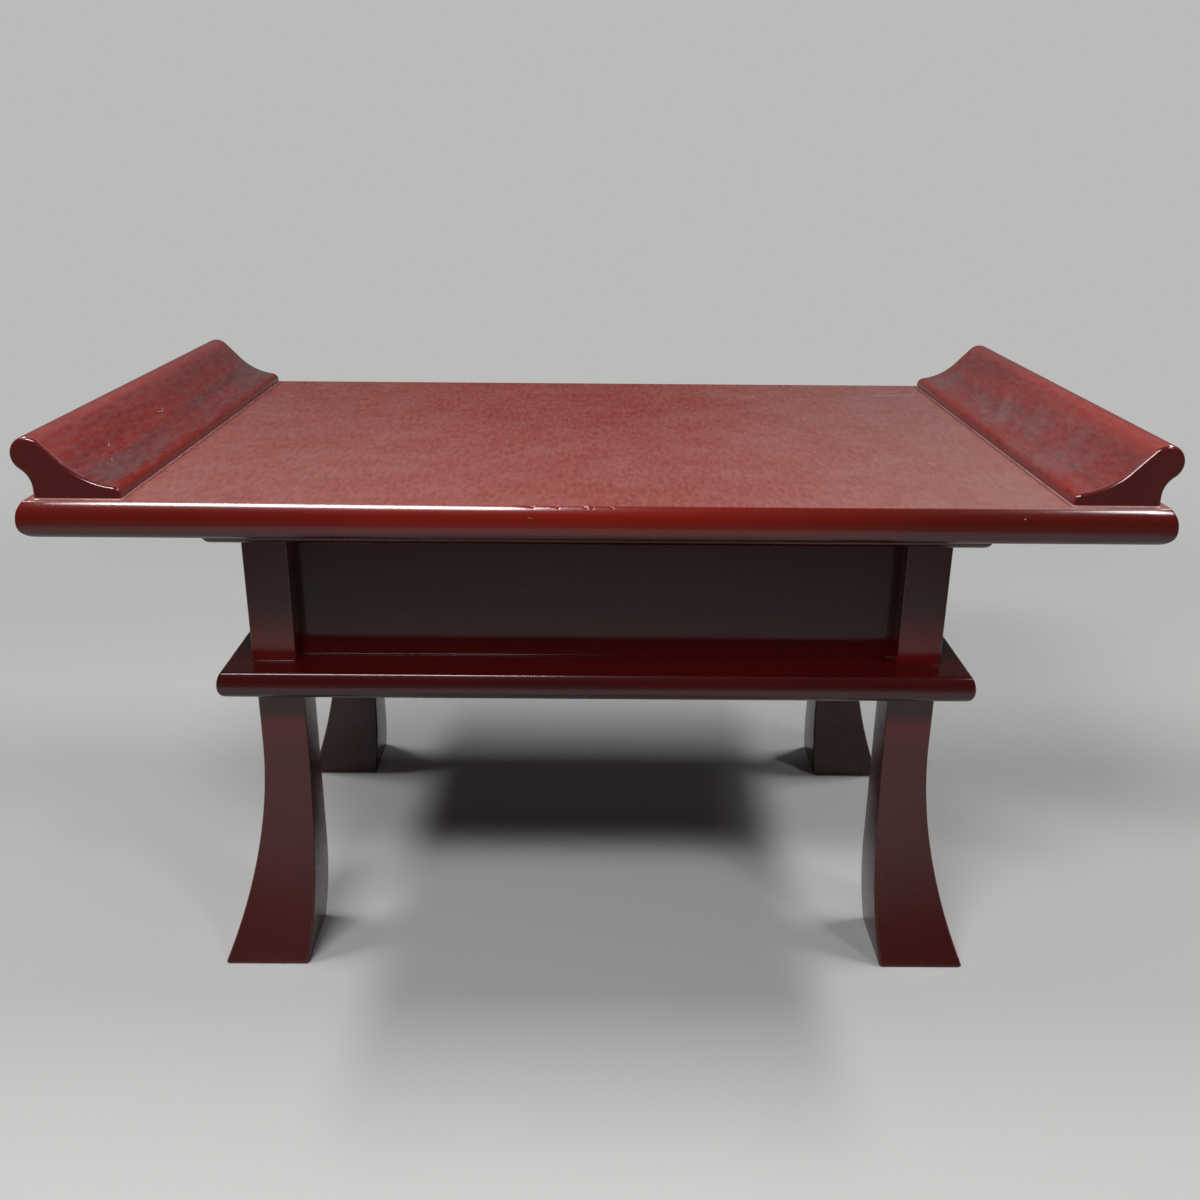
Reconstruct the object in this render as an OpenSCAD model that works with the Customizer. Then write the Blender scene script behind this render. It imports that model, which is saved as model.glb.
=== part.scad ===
// Low sutra table with two scroll ends, a recessed panel box and four sabre legs.
// Millimetres. X runs along the length, Y from front to back, Z up from the floor.

/* [Whole table] */
// Height of the writing surface above the floor
table_height = 303; // [290:1:330]

/* [Top board] */
// Length over the moulded ends
top_length = 600; // [590:1:640]
// Depth over the moulded front and back
top_depth = 348; // [336:1:380]
// Thickness
top_thickness = 20.5; // [18:0.5:24]
// How far the upper arris lies in from the widest line of the edge
top_lip = 4; // [2:0.5:6]
// Radius of the rounding along the underside
top_underside_radius = 9.5; // [6:0.5:12]

/* [Scroll ends] */
// Height of the crest above the writing surface
scroll_height = 32.5; // [30:0.5:36]
// Width of the foot that stands on the top board
scroll_foot_width = 45.5; // [43:0.5:52]
// How far the foot stays in from the top board's arrises
scroll_setback = 4; // [3:0.5:8]
// How far the crest reaches out past the foot
scroll_overhang = 9; // [7:0.5:11]
// Radius of the rolled crest
crest_radius = 9.5; // [8.5:0.5:10]
// Radius of the hollow under the crest, on the outer side
neck_radius = 12; // [10:0.5:13]
// How deep this hollow's circle cuts into the crest's, so that they meet in a soft line
neck_bite = 0.25; // [0.2:0.05:0.5]
// Slope of the inner face below the crest, in degrees
scroll_slope = 46; // [43:1:50]
// Radius of the hollow that runs out to the toe
hollow_radius = 40; // [36:1:46]
// Height of the toe
toe_height = 6.8; // [6:0.2:8]
// Radius of the rounded toe
toe_radius = 5; // [3:0.5:5.5]

/* [Box boards] */
// Length of the under-top board and the tier board
shelf_length = 439; // [430:1:470]
// Depth of the under-top board and the tier board
shelf_depth = 273; // [266:1:300]
// Thickness of the tier board, on which the box stands
tier_thickness = 16.5; // [14:0.5:20]
// Thickness of the board under the top
under_top_thickness = 14; // [12:0.5:18]
// How far the upper arris lies in from the widest line of the edge
shelf_lip = 3; // [1.5:0.5:4]
// Radius of the rounding along the underside
shelf_underside_radius = 7.5; // [5:0.5:9]

/* [Posts and panels] */
// Clear height between the two box boards
box_height = 77.5; // [65:0.5:90]
// Side of the square corner posts
post_width = 26; // [25:0.5:30]
// From the end of the box boards to the posts
post_end_inset = 17; // [14:0.5:20]
// From the front of the box boards to the posts
post_front_inset = 20.5; // [17:0.5:24]
// How far the panels stand back from the posts' faces
panel_recess = 11.5; // [10.5:0.5:12]
// Thickness of the panels
panel_thickness = 9; // [7:0.5:9]
// How far the panels enter the posts
post_groove_depth = 4; // [2:0.5:4]
// How far the panels enter the two boards
shelf_groove_depth = 4; // [2:0.5:5]

/* [Legs] */
// Side of the square leg at its top
leg_width = 27.5; // [27:0.5:32]
// From the end of the tier board to the legs
leg_end_inset = 19; // [17:0.5:21]
// From the front of the tier board to the legs
leg_front_inset = 17; // [16:0.5:20]
// How far the foot sweeps out, to the side and to the front alike
foot_sweep = 28; // [16:1:34]
// Height at which the outer faces begin to sweep out
sweep_height = 140; // [110:5:150]
// How far the foot's inner faces follow the sweep
heel_sweep = 4; // [2:0.5:8]
// Height at which the inner faces begin to follow
heel_height = 58; // [40:2:80]

/* [Joints] */
// Side of the square tenons on the legs and the posts
tenon_width = 14; // [12:0.5:14]
// How far a leg's tenon enters the post above the tier board
leg_tenon_reach = 22; // [16:1:30]
// Length of the tenon on top of a post
post_tenon_length = 8; // [6:0.5:9]
// Gap for glue round each tenon and panel edge
glue_gap = 0.1; // [0.05:0.05:0.2]
// Gap at the bottom of each mortise, groove and blind hole
end_gap = 0.3; // [0.2:0.1:0.6]

/* [Dowels and screws] */
// From the foot's outer face to the row of dowels and screws in a scroll end
scroll_fixing_inset = 12; // [10:0.5:14]
// Diameter of the dowels in the scroll ends
dowel_diameter = 8; // [6:1:9]
// Length of the dowels
dowel_length = 24; // [20:1:28]
// Distance between the two dowels of a scroll end
dowel_spacing = 110; // [90:5:130]
// Number of screws in each scroll end
scroll_screw_count = 3; // [2:1:3]
// Distance from one of these screws to the next
scroll_screw_spacing = 125; // [120:1:135]
// Length of these screws
scroll_screw_length = 36; // [30:1:40]
// Length of the screws that hold the top board
top_screw_length = 26; // [22:1:30]
// Screws to the top board along the length
top_screw_columns = 3; // [2:1:3]
// Distance from one column to the next
top_screw_column_spacing = 120; // [90:5:120]
// Distance between the front and the back row
top_screw_row_spacing = 130; // [100:5:140]
// Diameter of the screw shanks
screw_diameter = 4; // [3:0.5:5]
// Diameter of the screw heads
screw_head_diameter = 8; // [7:0.5:9]
// Width of each slot of the cross in a screw head
cross_slot_width = 1; // [0.8:0.1:1.2]
// Depth of the cross in a screw head
cross_slot_depth = 1.6; // [1:0.1:2]

/* [Glue blocks] */
// Side of the triangular glue blocks
block_width = 16; // [10:1:20]
// Length of the glue blocks
block_length = 45; // [30:1:60]
// Distance between the two blocks along a long panel
block_spacing = 200; // [160:5:240]

/* [Hidden] */

// Facets of the small round forms, and of the long shallow curves
$fn = 96;
long_curve_facets = 720;
// Overshoot of a cutting shape past the face that it leaves by
cut = 1;

lacquer = [0.33, 0.10, 0.11];
lacquer_light = [0.50, 0.19, 0.19];
lacquer_dark = [0.20, 0.10, 0.10];
bare_wood = [0.76, 0.58, 0.38];
steel = [0.72, 0.72, 0.70];

// Heights, from the floor up
leg_height = table_height - top_thickness - under_top_thickness - box_height - tier_thickness;
tier_top = leg_height + tier_thickness;
under_top_base = tier_top + box_height;
top_base = under_top_base + under_top_thickness;

// Posts and legs, measured from the middle of the table to their outer faces
post_x = shelf_length / 2 - post_end_inset;
post_y = shelf_depth / 2 - post_front_inset;
leg_x = shelf_length / 2 - leg_end_inset;
leg_y = shelf_depth / 2 - leg_front_inset;
// One axis for the tenons of each post and of the leg under it
tenon_x = post_x - post_width / 2;
tenon_y = post_y - post_width / 2;

// Panels: outer faces, and half of each length with the parts inside the posts
panel_front_y = post_y - panel_recess;
panel_end_x = post_x - panel_recess;
long_panel_half = post_x - post_width + post_groove_depth - end_gap;
short_panel_half = post_y - post_width + post_groove_depth - end_gap;
groove_width = panel_thickness + 2 * glue_gap;

// Curves of the legs: a circle that leaves the vertical at one height and reaches its sweep at the floor
sweep_radius = arc_radius(sweep_height, foot_sweep);
heel_radius = arc_radius(heel_height, heel_sweep);

// Scroll ends, measured along X from the middle of the table, with heights from the writing surface
scroll_length = top_depth - 2 * top_lip - 2 * scroll_setback;
scroll_outer = top_length / 2 - top_lip - scroll_setback;
scroll_toe = scroll_outer - scroll_foot_width;
crest_centre = [scroll_outer + scroll_overhang - crest_radius, scroll_height - crest_radius];
// The toe's upper corner from the crest's middle: down the slope, and square to it
toe_from_crest = [scroll_toe, toe_height] - crest_centre;
toe_down_slope = toe_from_crest * [-cos(scroll_slope), -sin(scroll_slope)];
toe_off_slope = toe_from_crest * [-sin(scroll_slope), cos(scroll_slope)] - crest_radius;
// The slope stays straight for as long as lets the hollow meet the toe
slope_length = toe_down_slope - sqrt(pow(hollow_radius, 2) - pow(toe_off_slope - hollow_radius, 2));
// The neck's circle touches the upright face of the foot and cuts into the crest
neck_out = scroll_outer + neck_radius - crest_centre[0];
neck_centre = [
    scroll_outer + neck_radius,
    crest_centre[1] - sqrt(pow(crest_radius + neck_radius - neck_bite, 2) - pow(neck_out, 2))
];
neck_meet_x = crest_centre[0] + neck_out * crest_radius / (crest_radius + neck_radius);

// Rows of dowels, screws and blocks
scroll_fixing_x = scroll_outer - scroll_fixing_inset;
screw_head_height = (screw_head_diameter - screw_diameter) / 2;
screw_point_length = screw_diameter;

// Radius of a circle that leaves a line at one point and is rise away from it after run
function arc_radius(run, rise) = (run * run + rise * rise) / (2 * rise);

// Places of a row of count pieces about the middle
function spread(count, spacing) = [for (i = [0 : count - 1]) (i - (count - 1) / 2) * spacing];

// Flat shapes

// Bar with round ends, centred on the origin
module stadium(width, radius) {
    square([width - 2 * radius, 2 * radius], center = true);
    for (side = [-1, 1])
        translate([side * (width / 2 - radius), 0])
            circle(radius);
}

// Cross-section of a board with both edges moulded, standing on the X axis
module moulded_section(width, thickness, lip, radius) {
    brow_rise = thickness - radius;
    intersection() {
        translate([0, radius])
            stadium(width, radius);
        translate([-width / 2, 0])
            square([width, radius]);
    }
    intersection() {
        translate([0, radius])
            stadium(width, arc_radius(brow_rise, lip));
        translate([-width / 2, radius])
            square([width, brow_rise]);
    }
}

// Children drawn from the crest's middle, with X up the slope
module at_crest() {
    translate(crest_centre)
        rotate(scroll_slope)
            children();
}

// Outline of a scroll end, seen from the front, on the right-hand side
module scroll_outline() {
    difference() {
        union() {
            at_crest()
                circle(crest_radius);
            difference() {
                translate([scroll_toe, 0])
                    square([neck_meet_x - scroll_toe, scroll_height]);
                at_crest()
                    above_slope();
            }
        }
        translate(neck_centre)
            circle(neck_radius);
        translate([scroll_outer, -cut])
            square([neck_radius, neck_centre[1] + cut]);
        toe_corner();
    }
}

// The space over the inner face: past the crest, along the slope and in the hollow
module above_slope() {
    square(scroll_foot_width);
    translate([-slope_length, crest_radius])
        square([slope_length + cut, scroll_foot_width]);
    translate([-slope_length, crest_radius + hollow_radius])
        circle(hollow_radius, $fn = long_curve_facets);
}

// What the rounded toe leaves out of its square corner
module toe_corner() {
    difference() {
        translate([scroll_toe - cut, toe_height - toe_radius])
            square([toe_radius + cut, toe_radius + cut]);
        translate([scroll_toe + toe_radius, toe_height - toe_radius])
            circle(toe_radius);
    }
}

// Outline of a leg, with its upper outer corner line at zero and outwards positive
module leg_outline() {
    difference() {
        intersection() {
            translate([-leg_width, 0])
                square([leg_width + foot_sweep, leg_height]);
            union() {
                translate([-leg_width, heel_height])
                    square([leg_width + foot_sweep, leg_height - heel_height]);
                translate([heel_radius - leg_width, heel_height])
                    circle(heel_radius, $fn = long_curve_facets);
            }
        }
        translate([0, sweep_height])
            square([foot_sweep + cut, leg_height - sweep_height + cut]);
        translate([sweep_radius, sweep_height])
            circle(sweep_radius, $fn = long_curve_facets);
    }
}

// Solid shapes

// A flat shape drawn in X and Z, made solid along Y
module along_y(length) {
    rotate([90, 0, 0])
        linear_extrude(length, center = true)
            children();
}

// A flat shape drawn in Y and Z, made solid along X
module along_x(length) {
    rotate([90, 0, 90])
        linear_extrude(length, center = true)
            children();
}

// Board with all four edges moulded, its underside at zero
module moulded_board(length, depth, thickness, lip, radius) {
    intersection() {
        along_y(depth)
            moulded_section(length, thickness, lip, radius);
        along_x(length)
            moulded_section(depth, thickness, lip, radius);
    }
}

// Block centred in X and Y, its underside at zero
module upright_block(length, depth, height) {
    translate([-length / 2, -depth / 2, 0])
        cube([length, depth, height]);
}

// Square hole round a tenon, from z = 0 up
module mortise(depth) {
    width = tenon_width + 2 * glue_gap;
    upright_block(width, width, depth);
}

// Children at the four tenon axes
module at_tenons() {
    for (side = [-1, 1], end = [-1, 1])
        translate([side * tenon_x, end * tenon_y, 0])
            children();
}

// Ring of four grooves for the panels, from z = 0 up
module panel_grooves(depth) {
    for (end = [-1, 1])
        translate([0, end * (panel_front_y - panel_thickness / 2), 0])
            upright_block(2 * (long_panel_half + end_gap), groove_width, depth);
    for (side = [-1, 1])
        translate([side * (panel_end_x - panel_thickness / 2), 0, 0])
            upright_block(groove_width, 2 * (short_panel_half + end_gap), depth);
}

// Countersunk wood screw, its head's face at zero and its point up
module wood_screw(length) {
    difference() {
        union() {
            cylinder(h = screw_head_height, d1 = screw_head_diameter, d2 = screw_diameter);
            cylinder(h = length - screw_point_length, d = screw_diameter);
            translate([0, 0, length - screw_point_length])
                cylinder(h = screw_point_length, d1 = screw_diameter, d2 = 0);
        }
        for (turn = [0, 90])
            rotate(turn)
                translate([0, 0, -cut])
                    upright_block(screw_head_diameter / 2, cross_slot_width, cross_slot_depth + cut);
    }
}

// Hole for a wood screw, with its countersink at zero
module screw_hole(length) {
    translate([0, 0, -cut])
        cylinder(h = length + end_gap + cut, d = screw_diameter + 2 * glue_gap);
    translate([0, 0, -glue_gap])
        cylinder(
            h = screw_head_height + glue_gap,
            d1 = screw_head_diameter + 2 * glue_gap,
            d2 = screw_diameter
        );
}

// Children at the screws of one scroll end, from the underside of the top board
module at_scroll_screws() {
    for (y = spread(scroll_screw_count, scroll_screw_spacing))
        translate([scroll_fixing_x, y, top_base])
            children();
}

// Children at the dowels of one scroll end, centred on the writing surface
module at_scroll_dowels() {
    for (y = spread(2, dowel_spacing))
        translate([scroll_fixing_x, y, table_height])
            children();
}

// Children at the screws that hold the top board, from the underside of the board below it
module at_top_screws() {
    for (x = spread(top_screw_columns, top_screw_column_spacing), y = spread(2, top_screw_row_spacing))
        translate([x, y, under_top_base])
            children();
}

module dowel() {
    cylinder(h = dowel_length, d = dowel_diameter, center = true);
}

module dowel_hole() {
    cylinder(h = dowel_length + 2 * end_gap, d = dowel_diameter + 2 * glue_gap, center = true);
}

// Whatever stands on the right, and its mirror image on the left
module both_sides() {
    children();
    mirror([1, 0, 0])
        children();
}

// Top

module top_board() {
    color(lacquer_light)
        difference() {
            translate([0, 0, top_base])
                moulded_board(top_length, top_depth, top_thickness, top_lip, top_underside_radius);
            both_sides() {
                at_scroll_dowels()
                    dowel_hole();
                at_scroll_screws()
                    screw_hole(scroll_screw_length);
            }
            at_top_screws()
                screw_hole(top_screw_length);
        }
}

module right_scroll_end() {
    color(lacquer)
        difference() {
            translate([0, 0, table_height])
                along_y(scroll_length)
                    scroll_outline();
            at_scroll_dowels()
                dowel_hole();
            at_scroll_screws()
                screw_hole(scroll_screw_length);
        }
}

module left_scroll_end() {
    mirror([1, 0, 0])
        right_scroll_end();
}

module scroll_dowels() {
    color(bare_wood)
        both_sides()
            at_scroll_dowels()
                dowel();
}

module scroll_screws() {
    color(steel)
        both_sides()
            at_scroll_screws()
                wood_screw(scroll_screw_length);
}

// Box

module under_top_board() {
    color(lacquer)
        difference() {
            translate([0, 0, under_top_base])
                moulded_board(
                    shelf_length, shelf_depth, under_top_thickness, shelf_lip, shelf_underside_radius
                );
            translate([0, 0, under_top_base - cut]) {
                at_tenons()
                    mortise(post_tenon_length + end_gap + cut);
                panel_grooves(shelf_groove_depth + end_gap + cut);
            }
            at_top_screws()
                screw_hole(top_screw_length);
        }
}

module top_screws() {
    color(steel)
        at_top_screws()
            wood_screw(top_screw_length);
}

module back_right_post() {
    color(lacquer)
        difference() {
            union() {
                translate([tenon_x, tenon_y, tier_top])
                    upright_block(post_width, post_width, box_height);
                translate([tenon_x, tenon_y, under_top_base])
                    upright_block(tenon_width, tenon_width, post_tenon_length);
            }
            translate([tenon_x, tenon_y, tier_top - cut])
                mortise(leg_tenon_reach + end_gap + cut);
            translate([0, 0, tier_top - cut])
                panel_grooves(box_height + 2 * cut);
        }
}

module back_left_post() {
    mirror([1, 0, 0])
        back_right_post();
}

module front_right_post() {
    mirror([0, 1, 0])
        back_right_post();
}

module front_left_post() {
    mirror([0, 1, 0])
        back_left_post();
}

module back_panel() {
    color(lacquer_dark)
        translate([0, panel_front_y - panel_thickness / 2, tier_top - shelf_groove_depth])
            upright_block(2 * long_panel_half, panel_thickness, box_height + 2 * shelf_groove_depth);
}

module front_panel() {
    mirror([0, 1, 0])
        back_panel();
}

module right_panel() {
    color(lacquer_dark)
        translate([panel_end_x - panel_thickness / 2, 0, tier_top - shelf_groove_depth])
            upright_block(panel_thickness, 2 * short_panel_half, box_height + 2 * shelf_groove_depth);
}

module left_panel() {
    mirror([1, 0, 0])
        right_panel();
}

// Three-sided glue block in the corner between a panel and the board under it
module glue_block() {
    along_x(block_length)
        polygon([[0, 0], [-block_width, 0], [0, block_width]]);
}

// Glue blocks round the inside of the box, with the corner that they fill at zero height
module glue_blocks() {
    color(bare_wood) {
        for (end = [0, 1], x = spread(2, block_spacing))
            mirror([0, end, 0])
                translate([x, panel_front_y - panel_thickness, 0])
                    glue_block();
        both_sides()
            translate([panel_end_x - panel_thickness, 0, 0])
                rotate(-90)
                    glue_block();
    }
}

module lower_glue_blocks() {
    translate([0, 0, tier_top])
        glue_blocks();
}

module upper_glue_blocks() {
    translate([0, 0, under_top_base])
        mirror([0, 0, 1])
            glue_blocks();
}

// Stand

module tier_board() {
    color(lacquer)
        difference() {
            translate([0, 0, leg_height])
                moulded_board(
                    shelf_length, shelf_depth, tier_thickness, shelf_lip, shelf_underside_radius
                );
            translate([0, 0, leg_height - cut])
                at_tenons()
                    mortise(tier_thickness + 2 * cut);
            translate([0, 0, tier_top - shelf_groove_depth - end_gap])
                panel_grooves(shelf_groove_depth + end_gap + cut);
        }
}

module back_right_leg() {
    blank_width = 2 * (leg_width + foot_sweep);
    color(lacquer) {
        intersection() {
            translate([leg_x, leg_y, 0])
                along_y(blank_width)
                    leg_outline();
            translate([leg_x, leg_y, 0])
                along_x(blank_width)
                    leg_outline();
        }
        translate([tenon_x, tenon_y, leg_height - cut])
            upright_block(tenon_width, tenon_width, tier_thickness + leg_tenon_reach + cut);
    }
}

module back_left_leg() {
    mirror([1, 0, 0])
        back_right_leg();
}

module front_right_leg() {
    mirror([0, 1, 0])
        back_right_leg();
}

module front_left_leg() {
    mirror([0, 1, 0])
        back_left_leg();
}

top_board();
left_scroll_end();
right_scroll_end();
scroll_dowels();
scroll_screws();
under_top_board();
top_screws();
front_left_post();
front_right_post();
back_left_post();
back_right_post();
front_panel();
back_panel();
left_panel();
right_panel();
upper_glue_blocks();
lower_glue_blocks();
tier_board();
front_left_leg();
front_right_leg();
back_left_leg();
back_right_leg();
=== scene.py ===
"""Looks of a low lacquered sutra table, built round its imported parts.

Metres throughout. X runs along the table's length, Y from front to back, Z up from the floor.
"""
from __future__ import annotations

import logging
import math
from collections.abc import Callable
from dataclasses import dataclass, field
from enum import Enum
from functools import cached_property

import bmesh
import bpy
import numpy as np
from mathutils import Matrix, Vector


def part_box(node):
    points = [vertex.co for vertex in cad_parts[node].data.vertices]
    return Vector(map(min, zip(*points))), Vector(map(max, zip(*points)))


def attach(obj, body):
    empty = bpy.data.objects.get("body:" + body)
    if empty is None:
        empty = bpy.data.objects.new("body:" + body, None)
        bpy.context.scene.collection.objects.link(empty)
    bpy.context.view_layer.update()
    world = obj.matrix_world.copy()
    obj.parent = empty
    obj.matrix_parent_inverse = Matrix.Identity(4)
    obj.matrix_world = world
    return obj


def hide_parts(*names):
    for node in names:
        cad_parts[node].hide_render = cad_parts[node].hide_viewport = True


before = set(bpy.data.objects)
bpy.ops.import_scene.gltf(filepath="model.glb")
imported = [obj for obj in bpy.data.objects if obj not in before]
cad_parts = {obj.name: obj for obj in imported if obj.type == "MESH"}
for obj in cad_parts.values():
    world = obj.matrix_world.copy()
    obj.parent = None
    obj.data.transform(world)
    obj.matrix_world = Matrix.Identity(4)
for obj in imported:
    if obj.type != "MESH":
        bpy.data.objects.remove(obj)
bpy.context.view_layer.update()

Array = np.ndarray
Colour = tuple[float, float, float]
Point = tuple[float, float, float]
Spot = tuple[float, float]

BODY = "root"
MM = 0.001
TINY = 1e-6
SHARP_ANGLE = math.radians(35)
# Width of the flat strip beside a rounding, which keeps the shading of the flat face level
SHOULDER = 0.8 * MM
SIDES = {"left": -1, "right": 1}
ENDS = {"front": -1, "back": 1}
CORNERS = tuple((f"{end}_{side}", SIDES[side], ENDS[end]) for end in ENDS for side in SIDES)

log = logging.getLogger("sutra_table")


def srgb(red: int, green: int, blue: int) -> Colour:
    """The linear colour that a shader takes for one that a screen shows, with values up to 255."""
    shown = np.array([red, green, blue]) / 255
    return tuple(np.where(shown < 0.04045, shown / 12.92, ((shown + 0.055) / 1.055) ** 2.4).tolist())


# Shader graphs


def operator(operation: str, swapped: bool = False) -> Callable[[Wire, Wire | float], Wire]:
    """Makes an operator of Wire, which adds a Math node.

    Args:
        operation: What the node works out.
        swapped: Whether the other term comes first.

    Returns:
        The method.
    """
    def apply(wire: Wire, other: Wire | float) -> Wire:
        """Adds the node and gives its result."""
        terms = (other, wire) if swapped else (wire, other)
        return wire.recipe.math(operation, *terms)

    return apply


class Wire:
    """An output of a shader node. Python's operators on it add Math nodes."""

    __add__ = operator("ADD")
    __radd__ = operator("ADD", True)
    __sub__ = operator("SUBTRACT")
    __rsub__ = operator("SUBTRACT", True)
    __mul__ = operator("MULTIPLY")
    __rmul__ = operator("MULTIPLY", True)
    __truediv__ = operator("DIVIDE")
    __rtruediv__ = operator("DIVIDE", True)

    def __init__(self, recipe: Recipe, socket: bpy.types.NodeSocket) -> None:
        """Wraps an output socket of a recipe's graph."""
        self.recipe = recipe
        self.socket = socket

    def ease(self, low: float, high: float) -> Wire:
        """Rises smoothly from 0 at low to 1 at high, which may be the lower number."""
        sockets = {0: self, 1: low, 2: high, 3: 0.0, 4: 1.0}
        return self.recipe.node("ShaderNodeMapRange", sockets, interpolation_type="SMOOTHSTEP")


class Recipe:
    """The node graph of one material or of the world."""

    def __init__(self, owner: bpy.types.Material | bpy.types.World) -> None:
        """Empties the owner's node tree.

        Args:
            owner: The material or world whose graph this is.
        """
        owner.use_nodes = True
        self.owner = owner
        self.tree = owner.node_tree
        self.tree.nodes.clear()

    @classmethod
    def material(cls, name: str) -> Recipe:
        """The graph of a new material."""
        return cls(bpy.data.materials.new(name))

    def add(self, kind: str, sockets: dict[int | str, object], **settings: object) -> bpy.types.Node:
        """Adds a node.

        Args:
            kind: The node's type.
            sockets: Numbers, colours or wires, by input name or index.
            settings: Its properties, set before the sockets.

        Returns:
            The node.
        """
        made = self.tree.nodes.new(kind)
        for name, value in settings.items():
            setattr(made, name, value)
        for key, value in sockets.items():
            if isinstance(value, Wire):
                self.tree.links.new(value.socket, made.inputs[key])
            else:
                made.inputs[key].default_value = value
        return made

    def node(
        self, kind: str, sockets: dict[int | str, object], output: int | str = 0, **settings: object
    ) -> Wire:
        """Adds a node in the same way and gives the wire from one of its outputs."""
        return Wire(self, self.add(kind, sockets, **settings).outputs[output])

    def end(self, shader: Wire, kind: str = "ShaderNodeOutputMaterial") -> bpy.types.ID:
        """Links a shader to the graph's output, and gives the material or world."""
        self.add(kind, {"Surface": shader})
        return self.owner

    def principled(self, sockets: dict[int | str, object]) -> Wire:
        """Adds the main shader."""
        return self.node("ShaderNodeBsdfPrincipled", sockets)

    def math(self, operation: str, *terms: Wire | float) -> Wire:
        """Adds a Math node."""
        return self.node("ShaderNodeMath", dict(enumerate(terms)), operation=operation)

    def vector(self, operation: str, *terms: Wire | Point, output: int = 0) -> Wire:
        """Adds a Vector Math node, whose output 0 is a vector and 1 a number."""
        return self.node("ShaderNodeVectorMath", dict(enumerate(terms)), output, operation=operation)

    def mix(self, share: Wire | float, first: Wire | Colour, second: Wire | Colour) -> Wire:
        """Blends two colours, from the first at share 0 to the second at 1."""
        ends = [c if isinstance(c, Wire) else (*c, 1.0) for c in (first, second)]
        return self.node("ShaderNodeMix", {0: share, 6: ends[0], 7: ends[1]}, 2, data_type="RGBA")

    def layers(self, tint: Wire | Colour, *coats: tuple[Wire | float, Colour]) -> Wire:
        """Lays colours over a first one, in order.

        Args:
            tint: The first colour.
            coats: Share and colour of each coat.

        Returns:
            The blended colour.
        """
        for share, colour in coats:
            tint = self.mix(share, tint, colour)
        return tint

    def split(self, where: Wire) -> tuple[Wire, ...]:
        """X, Y and Z of a vector."""
        return tuple(Wire(self, s) for s in self.add("ShaderNodeSeparateXYZ", {0: where}).outputs)

    @cached_property
    def place(self) -> Wire:
        """Position in the table's own frame, in metres."""
        return self.node("ShaderNodeTexCoord", {}, "Object")

    @cached_property
    def axes(self) -> tuple[Wire, ...]:
        """X, Y and Z of that position."""
        return self.split(self.place)

    def noise(self, scale: float | Point, detail: float, roughness: float) -> Wire:
        """Adds a noise texture.

        Args:
            scale: Features per metre, alike all round or one number each for X, Y and Z.
            detail: Octaves.
            roughness: Weight of the finer octaves.

        Returns:
            Its value, about 0 to 1.
        """
        where = self.place
        if isinstance(scale, tuple):
            where, scale = self.vector("MULTIPLY", where, scale), 1.0
        sockets = {"Vector": where, "Scale": scale, "Detail": detail, "Roughness": roughness}
        return self.node("ShaderNodeTexNoise", sockets)

    def bump(self, height: Wire, depth: float, strength: float) -> Wire:
        """Turns a height from 0 to 1, which stands for the depth in metres, into a normal."""
        return self.node("ShaderNodeBump", {"Height": height, "Distance": depth, "Strength": strength})

    def off_line(self, start: Point, end: Point) -> Wire:
        """Distance from a straight line between two points.

        The nearest point is start plus the clamped share of the way to end.

        Args:
            start: One end of the line.
            end: The other end.

        Returns:
            The distance in metres.
        """
        way = tuple(b - a for a, b in zip(start, end))
        away = self.vector("SUBTRACT", self.place, start)
        along = self.vector("DOT_PRODUCT", away, way, output=1) / sum(v * v for v in way)
        share = self.node("ShaderNodeClamp", {0: along, 1: 0.0, 2: 1.0})
        spot = self.node("ShaderNodeVectorMath", {0: way, "Scale": share}, operation="SCALE")
        return self.vector("LENGTH", self.vector("SUBTRACT", away, spot), output=1)


# Finishes


class Grain(Enum):
    """Which way the wood runs under the finish."""

    LENGTH = 0
    DEPTH = 1
    UPRIGHT = 2

    def stretch(self, along: float, across: float) -> Point:
        """Scale of a pattern that is drawn out along the grain, on X, Y and Z."""
        return tuple(along if axis == self.value else across for axis in range(3))


@dataclass(frozen=True)
class Mark:
    """A thin pale scratch or a small chip in the lacquer."""

    start: Point
    end: Point
    half_width: float
    strength: float


def marks(*rows: tuple[Point, Point, float, float]) -> tuple[Mark, ...]:
    """Marks from rows of start, end, half width and strength, with lengths in millimetres."""
    return tuple(
        Mark(tuple(v * MM for v in start), tuple(v * MM for v in end), half_width * MM, strength)
        for start, end, half_width, strength in rows
    )


# Chips in the front arris and scuffs near the back right corner of the writing board
TOP_MARKS = marks(
    ((-34, -170.6, 302.4), (-32.6, -170.6, 302.4), 0.5, 0.8),
    ((-21, -170.4, 302.6), (-20.2, -170.4, 302.6), 0.5, 0.7),
    ((-6.8, -170.6, 302.4), (-5.6, -170.6, 302.4), 0.6, 0.9),
    ((-3.2, -170.4, 302.6), (-2.8, -170.4, 302.6), 0.4, 0.7),
    ((7, -170.6, 302.4), (7.6, -170.6, 302.4), 0.5, 0.8),
    ((-36, -173.2, 297), (-34, -173.3, 296.6), 0.35, 0.2),
    ((-24, -173.4, 295), (-22.5, -173.5, 294.5), 0.3, 0.2),
    ((208, 129, 303), (236, 132, 303), 2.6, 0.1),
    ((213, 143, 303), (227, 146, 303), 2.0, 0.08),
    ((228, 120, 303), (243, 150, 303), 1.8, 0.08),
)
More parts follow.
